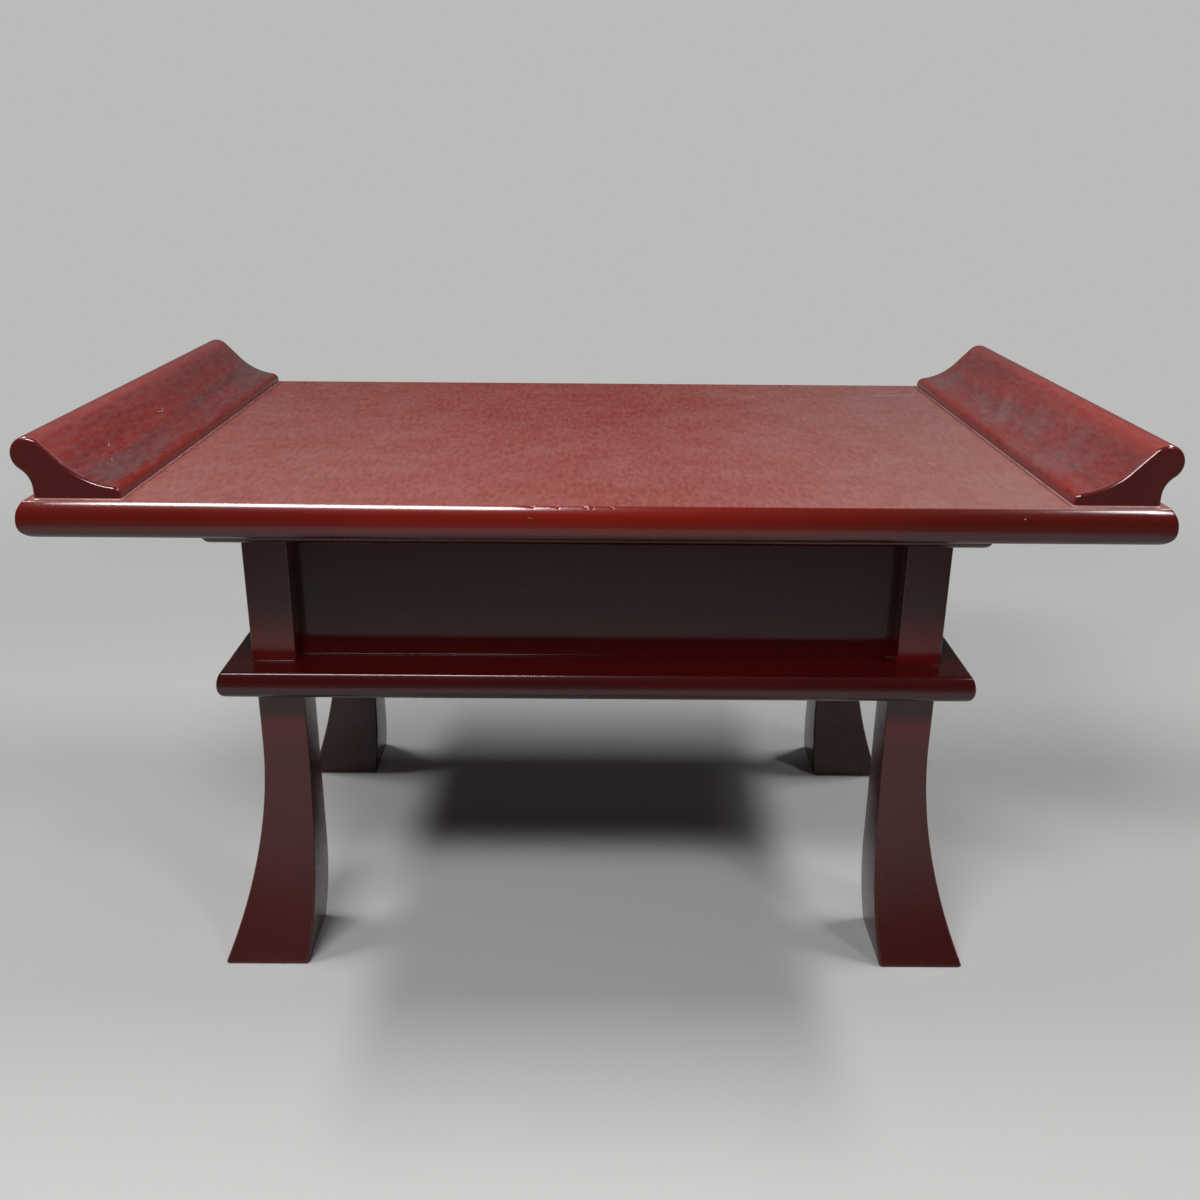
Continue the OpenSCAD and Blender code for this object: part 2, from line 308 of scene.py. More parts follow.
SCROLL_MARKS = marks(
    ((-272.6, -28, 320), (-271.4, -23, 319), 0.35, 0.5),
    ((-271.4, -23, 319), (-272.8, -18, 320.3), 0.3, 0.4),
    ((-271.6, -110, 319.5), (-270.6, -113, 318.6), 0.3, 0.6),
    ((-264.8, -126, 314.6), (-264.2, -127, 314.2), 0.4, 0.6),
    ((274, 36, 321.6), (268, 20, 317), 5.0, 0.06),
    ((270.4, 26, 318.4), (261, 2, 312.8), 6.0, 0.05),
    ((280, -58, 327.6), (276.3, -74, 324), 3.5, 0.04),
    ((266, 66, 315.6), (259, 30, 312.2), 6.0, 0.04),
)
CHIPS = tuple((x * MM, -170.4 * MM, 302.9 * MM) for x in (-33.3, -20.6, -6.2, -3.0, 7.3))


@dataclass(frozen=True)
class Lacquer:
    """Dark red lacquer over wood: a deep coloured film under a clear glossy one."""

    name: str
    grain: Grain = Grain.LENGTH
    body: Colour = srgb(140, 24, 16)
    glow: Colour = srgb(158, 36, 22)
    shade: Colour = srgb(96, 20, 16)
    # Pale colour: painted sheen and haze on the writing board and scroll ends, dust at the feet of the
    # legs
    sheen_haze_and_dust: Colour = srgb(196, 184, 188)
    dust: Colour = srgb(222, 212, 206)
    clouds: float = 0.45
    streaks: float = 0.35
    specks: float = 0.1
    cells: float = 95.0
    roughness: float = 0.26
    coat: float = 1.0
    coat_roughness: float = 0.14
    coat_ior: float = 1.7
    film_gloss: float = 0.08
    relief: float = 0.0025 * MM
    marks: tuple[Mark, ...] = ()

    def colour(self, recipe: Recipe, fibre: Wire) -> Wire:
        """Colour of the sound film: large clouds, and bands drawn out along the grain.

        Args:
            recipe: The graph.
            fibre: The fine pattern of the wood.

        Returns:
            The colour.
        """
        cloud = recipe.noise(7.0, 3.0, 0.55).ease(0.35, 0.68)
        band = recipe.noise(self.grain.stretch(2.2, 38.0), 3.0, 0.6).ease(0.42, 0.72)
        return recipe.layers(
            self.body,
            (cloud * self.clouds, self.glow),
            (band * self.streaks, self.shade),
            (fibre.ease(0.5, 0.8) * (self.streaks * 0.5), self.shade),
        )

    @staticmethod
    def mottle(recipe: Recipe) -> Wire:
        """Share of the fine blotches, which are longer from front to back than across."""
        return recipe.noise((360.0, 95.0, 360.0), 3.0, 0.7).ease(0.15, 0.85)

    def aged_and_painted_light(self, recipe: Recipe, tint: Wire) -> Wire:
        """Colour after years of use, with the painted light and shade that some finishes add. A piece that
        nobody leans on keeps its colour.
        """
        return tint

    def polish(self, recipe: Recipe) -> Wire | float:
        """Share of the glossy film that is left."""
        return 1.0

    def wear(self, recipe: Recipe) -> Wire:
        """Dust, nicks and marks: small dots in some cells of a cell pattern, and short lines.

        Args:
            recipe: The graph.

        Returns:
            Share of the dust colour.
        """
        sockets = {"Vector": recipe.place, "Scale": self.cells}
        dots, lot = (recipe.node("ShaderNodeTexVoronoi", sockets, out) for out in ("Distance", "Color"))
        pick, size = (recipe.node("ShaderNodeSeparateColor", {0: lot}, out) for out in (0, 1))
        reach = size * 0.05 + 0.02
        worn = (1.0 - (dots / reach).ease(0.6, 1.0)) * pick.ease(0.84, 0.86) * self.specks
        for mark in self.marks:
            near = recipe.off_line(mark.start, mark.end).ease(mark.half_width, mark.half_width * 0.4)
            worn = recipe.math("MAXIMUM", worn, near * mark.strength)
        return worn

    def make(self) -> bpy.types.Material:
        """Builds the material.

        Returns:
            The new material.
        """
        recipe = Recipe.material(self.name)
        fibre = recipe.noise(self.grain.stretch(9.0, 620.0), 3.0, 0.6)
        tint = self.aged_and_painted_light(recipe, self.colour(recipe, fibre))
        worn = self.wear(recipe)
        peel = recipe.noise(240.0, 2.0, 0.5)
        smear = recipe.noise(26.0, 4.0, 0.6)
        return recipe.end(recipe.principled({
            "Base Color": recipe.mix(worn, tint, self.dust),
            "Roughness": self.roughness + (smear - 0.5) * 0.12 + (peel - 0.5) * 0.08 + worn * 0.3,
            "Specular IOR Level": self.film_gloss,
            "Coat Weight": self.polish(recipe) * self.coat - worn * (self.coat * 0.6),
            "Coat Roughness": self.coat_roughness,
            "Coat IOR": self.coat_ior,
            "Normal": recipe.bump(peel * 0.7 + fibre * 0.3, self.relief, 0.5),
        }))


@dataclass(frozen=True)
class WritingLacquer(Lacquer):
    """Lacquer of the writing board: worn dull above, paler and mottled there with painted light and a
    painted sheen, and sound on its edges, which carry painted shade towards their ends.
    """

    # bright paints light on the upper face, partly paler worn lacquer; dusk darkens the mottle and paints
    # shade at the ends of the edges
    bright: Colour = srgb(180, 48, 30)
    dusk: Colour = srgb(62, 14, 11)
    sheen_haze_and_dust: Colour = srgb(200, 184, 180)
    upper: Spot = (0.3022, 0.3029)
    reach: Spot = (0.26, 0.17)

    def flat(self, recipe: Recipe) -> Wire:
        """1 on the upper face and 0 below its arris."""
        return recipe.axes[2].ease(*self.upper)

    def aged_and_painted_light(self, recipe: Recipe, tint: Wire) -> Wire:
        """Painted light on the upper face, redder and paler towards the front and the right, painted shade
        towards the back and at the ends of the edges, and a painted sheen with a fine mottle all over.

        Args:
            recipe: The graph.
            tint: Colour of the sound film.

        Returns:
            The worn colour.
        """
        x, y, _ = recipe.axes
        flat = self.flat(recipe)
        near = y.ease(self.reach[1], -self.reach[1])
        grey = self.mottle(recipe)
        patch = recipe.noise(34.0, 3.0, 0.6).ease(0.35, 0.7)
        cloudy = recipe.noise(6.0, 3.0, 0.55).ease(0.3, 0.75)
        sides = x.ease(0.0, self.reach[0]) * 0.17 + x.ease(-0.06, -self.reach[0]) * 0.06
        # Painted sheen, partly haze from scuffing: more to the front and the sides, in clouds and patches,
        # and mottled
        painted_sheen_and_haze = near * 0.08 + sides + cloudy * 0.05 + patch * 0.06 + grey * 0.14 - 0.03
        # Painted shade on the edges, towards both ends of the board
        shaded_edge_ends = x.ease(0.02, 0.2) * 0.62 + x.ease(-0.08, -0.27) * 0.45
        # Painted shade towards the back, painted light over the upper face and more at the front
        return recipe.layers(
            tint,
            ((1.0 - near) * flat * 0.3, self.shade),
            (flat * (near * 0.15 + 0.6), self.bright),
            ((1.0 - grey) * flat * 0.55, self.dusk),
            ((1.0 - flat) * shaded_edge_ends, self.dusk),
            (painted_sheen_and_haze * flat, self.sheen_haze_and_dust),
        )

    def polish(self, recipe: Recipe) -> Wire:
        """The upper face has lost much of its gloss, most of all in the middle."""
        middle = recipe.math("ABSOLUTE", recipe.axes[0]).ease(self.reach[0], 0.04)
        return 1.0 - self.flat(recipe) * (middle * 0.2 + 0.3)


@dataclass(frozen=True)
class LegLacquer(Lacquer):
    """Lacquer of posts and legs: painted shade on the legs under the tier board, and dusty at the feet,
    more on the left.
    """

    # Heights between which the painted shade under the tier board comes in
    tier: Spot = (0.16, 0.13)
    scuffed: float = 0.07

    def aged_and_painted_light(self, recipe: Recipe, tint: Wire) -> Wire:
        """Painted shade on the legs under the tier board, and paler again towards the floor.

        Args:
            recipe: The graph.
            tint: Colour of the sound film.

        Returns:
            The worn colour.
        """
        x, _, z = recipe.axes
        left = x.ease(0.1, -0.1)
        return recipe.layers(
            tint,
            # Painted shade on the legs below the tier board, a little less on the left
            (z.ease(*self.tier) * (0.75 - left * 0.15), self.shade),
            (z.ease(self.scuffed, 0.0) * (left * 0.018 + 0.003), self.sheen_haze_and_dust),
        )


@dataclass(frozen=True)
class ScrollLacquer(Lacquer):
    """Lacquer of the scroll ends, with painted light: a painted highlight on crest and toe, and painted
    shade and sheen in the hollow.
    """

    # bright paints light on the crest, dark paints shade in the hollow and at the toe's foot, face paints
    # shade on the cut end faces
    bright: Colour = srgb(184, 50, 34)
    dark: Colour = srgb(78, 30, 32)
    face: Colour = srgb(92, 18, 15)
    toe: Spot = (0.2475, 0.257)
    crest: Spot = (0.27, 0.289)
    front: Spot = (0.1642, 0.1652)
    foot: Spot = (0.3084, 0.3038)

    def aged_and_painted_light(self, recipe: Recipe, tint: Wire) -> Wire:
        """Painted light in bands along the length, with wandering edges: a painted highlight on the crest,
        painted shade and a painted sheen in the hollow, and painted shade at the foot of the toe and on
        the cut end faces.

        Args:
            recipe: The graph.
            tint: Colour of the sound film.

        Returns:
            The worn colour.
        """
        x, y, z = recipe.axes
        wander = (recipe.noise(self.grain.stretch(7.0, 26.0), 2.0, 0.5) - 0.5) * 0.03
        across = recipe.math("ABSOLUTE", x) + wander
        crest = across.ease(*self.crest)
        hollow = across.ease(*self.toe) * (1.0 - crest)
        right = x.ease(-0.1, 0.1)
        deep = 1.0 - right * 0.35
        streak = recipe.noise(self.grain.stretch(3.5, 105.0), 3.0, 0.6).ease(0.42, 0.66)
        patch = recipe.noise(17.0, 4.0, 0.6).ease(0.42, 0.72)
        fine = (self.mottle(recipe) - 0.45) * 0.14
        pale = crest * (0.08 - right * 0.04) + right * 0.04
        # Painted highlight on the crest, stronger on the right scroll; lengthwise streaks and painted
        # shade in the hollow, deeper on the left scroll; a mottled painted sheen in the hollow and on the
        # crest; painted shade at the toe's foot and on the cut end faces
        return recipe.layers(
            tint,
            ((crest * 0.35 + 0.1) * (right * 0.8 + 0.5), self.bright),
            (streak * (hollow * 0.35 + 0.25) * deep, self.dark),
            (hollow * (patch * 0.5 + 0.2) * deep, self.dark),
            (hollow * (patch * 0.09 + 0.03) + fine + pale, self.sheen_haze_and_dust),
            (z.ease(*self.foot) * 0.75, self.dark),
            (recipe.math("ABSOLUTE", y).ease(*self.front) * 0.9, self.face),
        )


@dataclass(frozen=True)
class BareWood:
    """Plain pale softwood, planed and left without finish."""

    name: str
    grain: Grain = Grain.LENGTH
    early: Colour = srgb(214, 178, 128)
    late: Colour = srgb(172, 124, 76)

    def make(self) -> bpy.types.Material:
        """Builds the material: year rings as stretched waves, with fine fibres.

        Returns:
            The new material.
        """
        recipe = Recipe.material(self.name)
        rings = recipe.noise(self.grain.stretch(6.0, 170.0), 2.0, 0.4)
        band = recipe.math("FRACT", rings * 7.0).ease(0.25, 0.95)
        fibre = recipe.noise(self.grain.stretch(40.0, 2400.0), 3.0, 0.6)
        return recipe.end(recipe.principled({
            "Base Color": recipe.mix(band * 0.6 + (fibre - 0.5) * 0.3, self.early, self.late),
            "Roughness": 0.62 + (fibre - 0.5) * 0.2,
            "Normal": recipe.bump(fibre * 0.6 + band * 0.4, 0.08 * MM, 0.6),
        }))


@dataclass(frozen=True)
class ZincSteel:
    """Bright zinc-plated steel with turned rings and a little tarnish."""

    name: str
    bright: Colour = srgb(190, 188, 180)
    dull: Colour = srgb(128, 124, 116)

    def make(self) -> bpy.types.Material:
        """Builds the material.

        Returns:
            The new material.
        """
        recipe = Recipe.material(self.name)
        tarnish = recipe.noise(420.0, 4.0, 0.6)
        turning = recipe.noise(Grain.UPRIGHT.stretch(2600.0, 160.0), 2.0, 0.5)
        return recipe.end(recipe.principled({
            "Base Color": recipe.mix(tarnish.ease(0.4, 0.75) * 0.8, self.bright, self.dull),
            "Metallic": 1.0,
            "Roughness": 0.28 + (tarnish - 0.5) * 0.3,
            "Normal": recipe.bump(turning, 0.02 * MM, 0.5),
        }))


# Deeper copies of the red lacquer for the boards under the writing board and the fillets at the box and
# legs: painted shade where the writing board shadows them
DEEP_SHADED = {"body": srgb(76, 12, 9), "glow": srgb(88, 17, 12), "shade": srgb(56, 12, 10)}
FINISHES = (
    WritingLacquer("lacquer_top", specks=0.8, roughness=0.34, marks=TOP_MARKS),
    ScrollLacquer(
        "lacquer_scroll", Grain.DEPTH, specks=0.8, roughness=0.3, coat_roughness=0.18, marks=SCROLL_MARKS
    ),
    Lacquer("shaded_board_lacquer", **DEEP_SHADED),
    Lacquer("shaded_line_lacquer", coat=0.2, **DEEP_SHADED),
    # The uprights' lacquer is darker than the writing board's, partly painted shade for upright faces that
    # get less light
    LegLacquer(
        "lacquer_upright", Grain.UPRIGHT, body=srgb(108, 20, 15), glow=srgb(122, 27, 19),
        shade=srgb(64, 14, 12), coat_roughness=0.2,
    ),
    # The recessed panels' darker lacquer is painted shade under the writing board's overhang
    Lacquer(
        "shaded_panel_lacquer", body=srgb(96, 20, 15), glow=srgb(108, 22, 16), shade=srgb(66, 16, 14), coat=0.66
    ),
    # Pale pink along the scroll feet: polish residue in the seam with a painted highlight
    Lacquer("seam_residue_and_highlight", body=srgb(192, 138, 134), glow=srgb(204, 152, 148)),
    BareWood("planed_wood"),
    BareWood("dowel_wood", Grain.UPRIGHT, early=srgb(206, 166, 118)),
    ZincSteel("zinc_steel"),
)
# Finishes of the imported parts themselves; posts and legs have the upright's, panels their own
NODE_FINISHES = {
    "scroll_dowels": "dowel_wood",
    "scroll_screws": "zinc_steel",
    "top_screws": "zinc_steel",
    "upper_glue_blocks": "planed_wood",
    "lower_glue_blocks": "planed_wood",
    "top_board": "lacquer_top",
    "left_scroll_end": "lacquer_scroll",
    "right_scroll_end": "lacquer_scroll",
    "under_top_board": "shaded_board_lacquer",
    "tier_board": "shaded_board_lacquer",
}


# Surfaces


def arc(centre: Spot, radius: float, start: float, stop: float, count: int) -> Array:
    """Points of an arc in degrees: the centre plus radius times cosine and sine of the angle."""
    angle = np.radians(np.linspace(start, stop, count))
    return np.array(centre) + radius * np.stack([np.cos(angle), np.sin(angle)], 1)


def soften(mesh: bpy.types.Mesh) -> None:
    """Shades a mesh smoothly, except across its sharp edges."""
    mesh.shade_smooth()
    mesh.set_sharp_from_angle(angle=SHARP_ANGLE)


@dataclass
class Skin:
    """A surface gathered from tubes of rings."""

    points: list[Array] = field(default_factory=list)
    quads: list[Array] = field(default_factory=list)
    caps: list[list[int]] = field(default_factory=list)

    def tube(self, rings: Array, looped: bool = False) -> Skin:
        """Adds closed rings joined one to the next. An open run gets a flat cap at both ends.

        Args:
            rings: Points by ring and place on the ring, shape (m, n, 3).
            looped: Whether the last ring joins the first.

        Returns:
            The skin itself.
        """
        first = sum(len(p) for p in self.points)
        index = first + np.arange(rings[..., 0].size).reshape(rings.shape[:2])
        lower = index if looped else index[:-1]
        upper = np.roll(index, -1, 0) if looped else index[1:]
        corners = [lower, np.roll(lower, -1, 1), np.roll(upper, -1, 1), upper]
        self.points.append(rings.reshape(-1, 3))
        self.quads.append(np.stack(corners, -1).reshape(-1, 4))
        if not looped:
            self.caps += [index[0].tolist(), index[-1].tolist()]
        return self

    def object(self, name: str) -> bpy.types.Object:
        """Makes an object at the origin, with coincident points merged and faces turned outwards.

        Args:
            name: The piece's name.

        Returns:
            The object.
        """
        mesh = bpy.data.meshes.new(name)
        mesh.from_pydata(np.concatenate(self.points), [], np.concatenate(self.quads).tolist() + self.caps)
        work = bmesh.new()
        work.from_mesh(mesh)
        bmesh.ops.remove_doubles(work, verts=work.verts, dist=TINY)
        bmesh.ops.recalc_face_normals(work, faces=work.faces)
        work.to_mesh(mesh)
        work.free()
        soften(mesh)
        made = bpy.data.objects.new(name, mesh)
        bpy.context.scene.collection.objects.link(made)
        return made


@dataclass
class Plan:
    """The plan of a rectangle with rounded corners.

    A point is its sign times (half size less corner radius), plus the radius times its normal.
    """

    along: Array
    across: Array
    corner_steps: int = 6
    sign: Array = field(init=False)
    normal: Array = field(init=False)

    def __post_init__(self) -> None:
        """Works out the sign and normal of each point, anticlockwise from the front left."""
        signs, normals = [], []
        for turn in range(4):
            share = self.along if turn % 2 == 0 else self.across
            if turn >= 2:
                share = 1 - share[::-1]
            quarter = math.radians(90 * turn)
            cos, sin = math.cos(quarter), math.sin(quarter)
            spin = np.array([[cos, sin], [-sin, cos]])
            bend = np.radians(np.linspace(-90, 0, self.corner_steps + 1)[1:-1])
            side_sign = np.stack([2 * share - 1, -np.ones_like(share)], 1)
            side_normal = np.tile([0.0, -1.0], (len(share), 1))
            corner_sign = np.tile([1.0, -1.0], (len(bend), 1))
            corner_normal = np.stack([np.cos(bend), np.sin(bend)], 1)
            signs.append(np.concatenate([side_sign, corner_sign]) @ spin)
            normals.append(np.concatenate([side_normal, corner_normal]) @ spin)
        self.sign = np.concatenate(signs)
        self.normal = np.concatenate(normals)

    @classmethod
    def even(cls, along: int = 1, across: int = 1, corner_steps: int = 6) -> Plan:
        """A plan with as many even steps on the sides along X and Y, and on each corner."""
        return cls(np.linspace(0, 1, along + 1), np.linspace(0, 1, across + 1), corner_steps)

    def rings(self, centre: Array, half: Array, radius: Array, height: Array) -> Array:
        """Stacks one rounded rectangle for each height.

        Args:
            centre: Middle of each, shape (m, 2) or (2,).
            half: Half sizes of each, shape (m, 2).
            radius: Corner radius of each, shape (m,).
            height: Height of each, shape (m,).

        Returns:
            Points by ring and place on the ring, shape (m, n, 3).
        """
        corner = radius[:, None, None]
        flat = self.sign * (half[:, None, :] - corner) + corner * self.normal
        flat = flat + np.broadcast_to(centre, (len(height), 2))[:, None, :]
        level = np.broadcast_to(height[:, None, None], (*flat.shape[:2], 1))
        return np.concatenate([flat, level], 2)


def footprint(node: str) -> tuple[Array, Array]:
    """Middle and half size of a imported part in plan."""
    low, high = (np.array(corner.xy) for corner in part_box(node))
    return (low + high) / 2, (high - low) / 2


def rectangle(one: Spot, other: Spot) -> Array:
    """The four corners of a rectangle, anticlockwise, from two opposite ones."""
    (x0, y0), (x1, y1) = np.sort([one, other], axis=0)
    return np.array([[x0, y0], [x1, y0], [x1, y1], [x0, y1]])


def block(low: Point, high: Point) -> Array:
    """Rings of a plain block, for a cutter: its plan at the lower and at the upper height."""
    plan = rectangle(low[:2], high[:2])
    return np.stack([np.column_stack([plan, np.full(4, z)]) for z in (low[2], high[2])])


def turned(centre: Spot, profile: Array, facets: int = 48) -> Array:
    """Rings of a turned shape: each profile point runs round the upright axis.

    Args:
        centre: Place of the axis.
        profile: Radius and height of each ring, shape (m, 2).
        facets: Points on each ring.

    Returns:
        Points by ring and place on the ring, shape (m, n, 3).
    """
    angle = np.linspace(0, 2 * math.pi, facets, endpoint=False)
    flat = profile[:, :1, None] * np.stack([np.cos(angle), np.sin(angle)], 1)[None]
    level = np.broadcast_to(profile[:, 1:, None], (len(profile), facets, 1))
    return np.concatenate([flat + np.array(centre), level], 2)


# Joinery


@dataclass(frozen=True)
class Joinery:
    """Sizes of tenons, grooves, dowels and screws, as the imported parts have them."""

    tenon_width: float = 14 * MM
    post_tenon: float = 8 * MM
    leg_tenon: float = 22 * MM
    groove_depth: float = 4 * MM
    glue_gap: float = 0.1 * MM
    end_gap: float = 0.3 * MM
    screw_width: float = 4 * MM
    head_width: float = 8 * MM
    long_screw: float = 36 * MM
    short_screw: float = 26 * MM
    dowel_width: float = 8 * MM
    dowel_half: float = 12 * MM
    overshoot: float = 1 * MM


JOINERY = Joinery()


class Cutter(Skin):
    """What the joinery takes out of a piece, gathered one kind of joint after the other."""

    def mortises(self, base: float, top: float) -> Cutter:
        """Adds the mortises on the axes of the four posts.

        Args:
            base: Lower end.
            top: Upper end.

        Returns:
            The cutter.
        """
        reach = JOINERY.tenon_width / 2 + JOINERY.glue_gap
        axis = footprint("back_right_post")[0]
        for side in (-1, 1):
            for end in (-1, 1):
                x, y = axis * [side, end]
                self.tube(block((x - reach, y - reach, base), (x + reach, y + reach, top)))
        return self

    def grooves(self, base: float, top: float) -> Cutter:
        """Adds the grooves for the four panels.

        Args:
            base: Lower end.
            top: Upper end.

        Returns:
            The cutter.
        """
        for name in ("front_panel", "back_panel", "left_panel", "right_panel"):
            low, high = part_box(name)
            wide = Vector((JOINERY.glue_gap, JOINERY.end_gap, 0))
            if high.x - low.x > high.y - low.y:
                wide = Vector((JOINERY.end_gap, JOINERY.glue_gap, 0))
            low, high = low - wide, high + wide
            self.tube(block((low.x, low.y, base), (high.x, high.y, top)))
        return self

    def screw_holes(self, spots: list[Spot], face: float, length: float) -> Cutter:
        """Adds countersunk screw holes, open downwards.

        Args:
            spots: Axes of the screws.
            face: Height of the face that the heads are flush with.
            length: Length of the screws.

        Returns:
            The cutter.
        """
        head = JOINERY.head_width / 2 + JOINERY.glue_gap
        shank = JOINERY.screw_width / 2 + JOINERY.glue_gap
        sink = (JOINERY.head_width - JOINERY.screw_width) / 2
        profile = np.array([
            [head, face - JOINERY.overshoot], [head, face], [shank, face + sink],
            [shank, face + length + JOINERY.end_gap],
        ])
        for spot in spots:
            self.tube(turned(spot, profile))
        return self

    def dowel_holes(self, spots: list[Spot], low: float, high: float) -> Cutter:
        """Adds dowel holes.

        Args:
            spots: Axes of the dowels.
            low: Lower end.
            high: Upper end.

        Returns:
            The cutter.
        """
        radius = JOINERY.dowel_width / 2 + JOINERY.glue_gap
        for spot in spots:
            self.tube(turned(spot, np.array([[radius, low], [radius, high]])))
        return self

    def carve(self, piece: bpy.types.Object) -> None:
        """Takes the cutter's space out of a piece.

        Args:
            piece: The piece.
        """
        tool = self.object("cutter")
        change = piece.modifiers.new("joinery", "BOOLEAN")
        change.operation = "DIFFERENCE"
        change.solver = "EXACT"
        change.object = tool
        graph = bpy.context.evaluated_depsgraph_get()
        carved = bpy.data.meshes.new_from_object(piece.evaluated_get(graph))
        piece.modifiers.clear()
        plain, piece.data = piece.data, carved
        carved.name = piece.name
        soften(carved)
        bpy.data.objects.remove(tool)
        bpy.data.meshes.remove(plain)


# Pieces


@dataclass(kw_only=True)
class Piece:
    """A piece of the table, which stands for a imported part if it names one."""

    name: str
    node: str = ""
    slot: str = "red_lacquer"

    def skin(self) -> Skin:
        """The piece's surface before the joinery is cut, worked out by each kind of piece."""
        raise NotImplementedError

    def build(self, finish: bpy.types.Material, *cutters: Cutter) -> None:
        """Builds the piece, cuts its joinery, gives it its finish and reports it.

        Args:
            finish: Its material.
            cutters: What the joinery takes out of it.
        """
        piece = self.skin().object(self.name)
        for cutter in cutters:
            cutter.carve(piece)
        piece.data.materials.clear()
        piece.data.materials.append(finish)
        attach(piece, BODY)
        if self.node:
            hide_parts(self.node)
        log.info("%s: %d points, %d faces", piece.name, len(piece.data.vertices), len(piece.data.polygons))


@dataclass(kw_only=True)
class MouldedBoard(Piece):
    """A board whose four edges are moulded: a brow above, a quarter round below."""

    lip: float
    underside_radius: float
    arris_radius: float
    corner_radius: float
    least_corner: float = 1.0 * MM
    chips: tuple[Point, ...] = ()
    chip_reach: float = 1.1 * MM
    chip_depth: float = 0.45 * MM
    chip_way: Point = (0.0, 0.7, -0.7)

    def profile(self, thickness: float) -> tuple[Array, Array]:
        """Edge profile from the top face round to the underside.

        The brow is a circle that leaves the widest line upright and lies in by the lip at the
        top face. The arris is a small circle that touches the brow and the top face.

        Args:
            thickness: The board's thickness.

        Returns:
            How far each ring lies in from the widest line, and its height over the underside.
        """
        under, small = self.underside_radius, self.arris_radius
        rise = thickness - under
        brow = (rise * rise + self.lip * self.lip) / (2 * self.lip)
        arris_in = brow - math.sqrt((brow - small) ** 2 - (rise - small) ** 2)
        meet = math.degrees(math.atan2(rise - small, brow - arris_in))
        rows = np.concatenate([
            [[-arris_in - SHOULDER, thickness]],
            arc((-arris_in, thickness - small), small, 90, meet, 9),
            arc((-brow, under), brow, meet, 0, 12)[1:],
            arc((-under, under), under, 0, -90, 14)[1:],
            [[-under - SHOULDER, 0.0]],
        ])
        return -rows[:, 0], rows[:, 1]

    def plan(self, length: float) -> Plan:
        """Plan of the board, with closely spaced points at the chips.

        Args:
            length: The board's length.

        Returns:
            The plan.
        """
        shares = [np.linspace(0, 1, 41)]
        for chip in self.chips:
            near = np.linspace(-1.3, 1.3, 15) * self.chip_reach
            shares.append((chip[0] + near) / length + 0.5)
        return Plan(np.unique(np.concatenate(shares).round(6)), np.linspace(0, 1, 21))

    def chipped(self, rings: Array) -> Array:
        """Presses a small dent into the arris at each chip.

        A point within reach of a chip moves inwards by the chip's depth times the square of
        one less the squared distance over the reach.

        Args:
            rings: The board's points.

        Returns:
            The points with the dents.
        """
        for chip in self.chips:
            away = np.linalg.norm(rings - np.array(chip), axis=2) / self.chip_reach
            dent = np.clip(1 - away**2, 0, 1) ** 2 * self.chip_depth
            rings = rings + dent[..., None] * np.array(self.chip_way)
        return rings

    def skin(self) -> Skin:
        """Stacks the rings that the edge profile gives from the top face downwards.

        Returns:
            The surface.
        """
        low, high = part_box(self.node)
        middle, half = footprint(self.node)
        inset, height = self.profile(high.z - low.z)
        corner = np.maximum(self.corner_radius - inset, self.least_corner)
        rings = self.plan(2 * half[0]).rings(middle, half - inset[:, None], corner, height + low.z)
        return Skin().tube(self.chipped(rings))


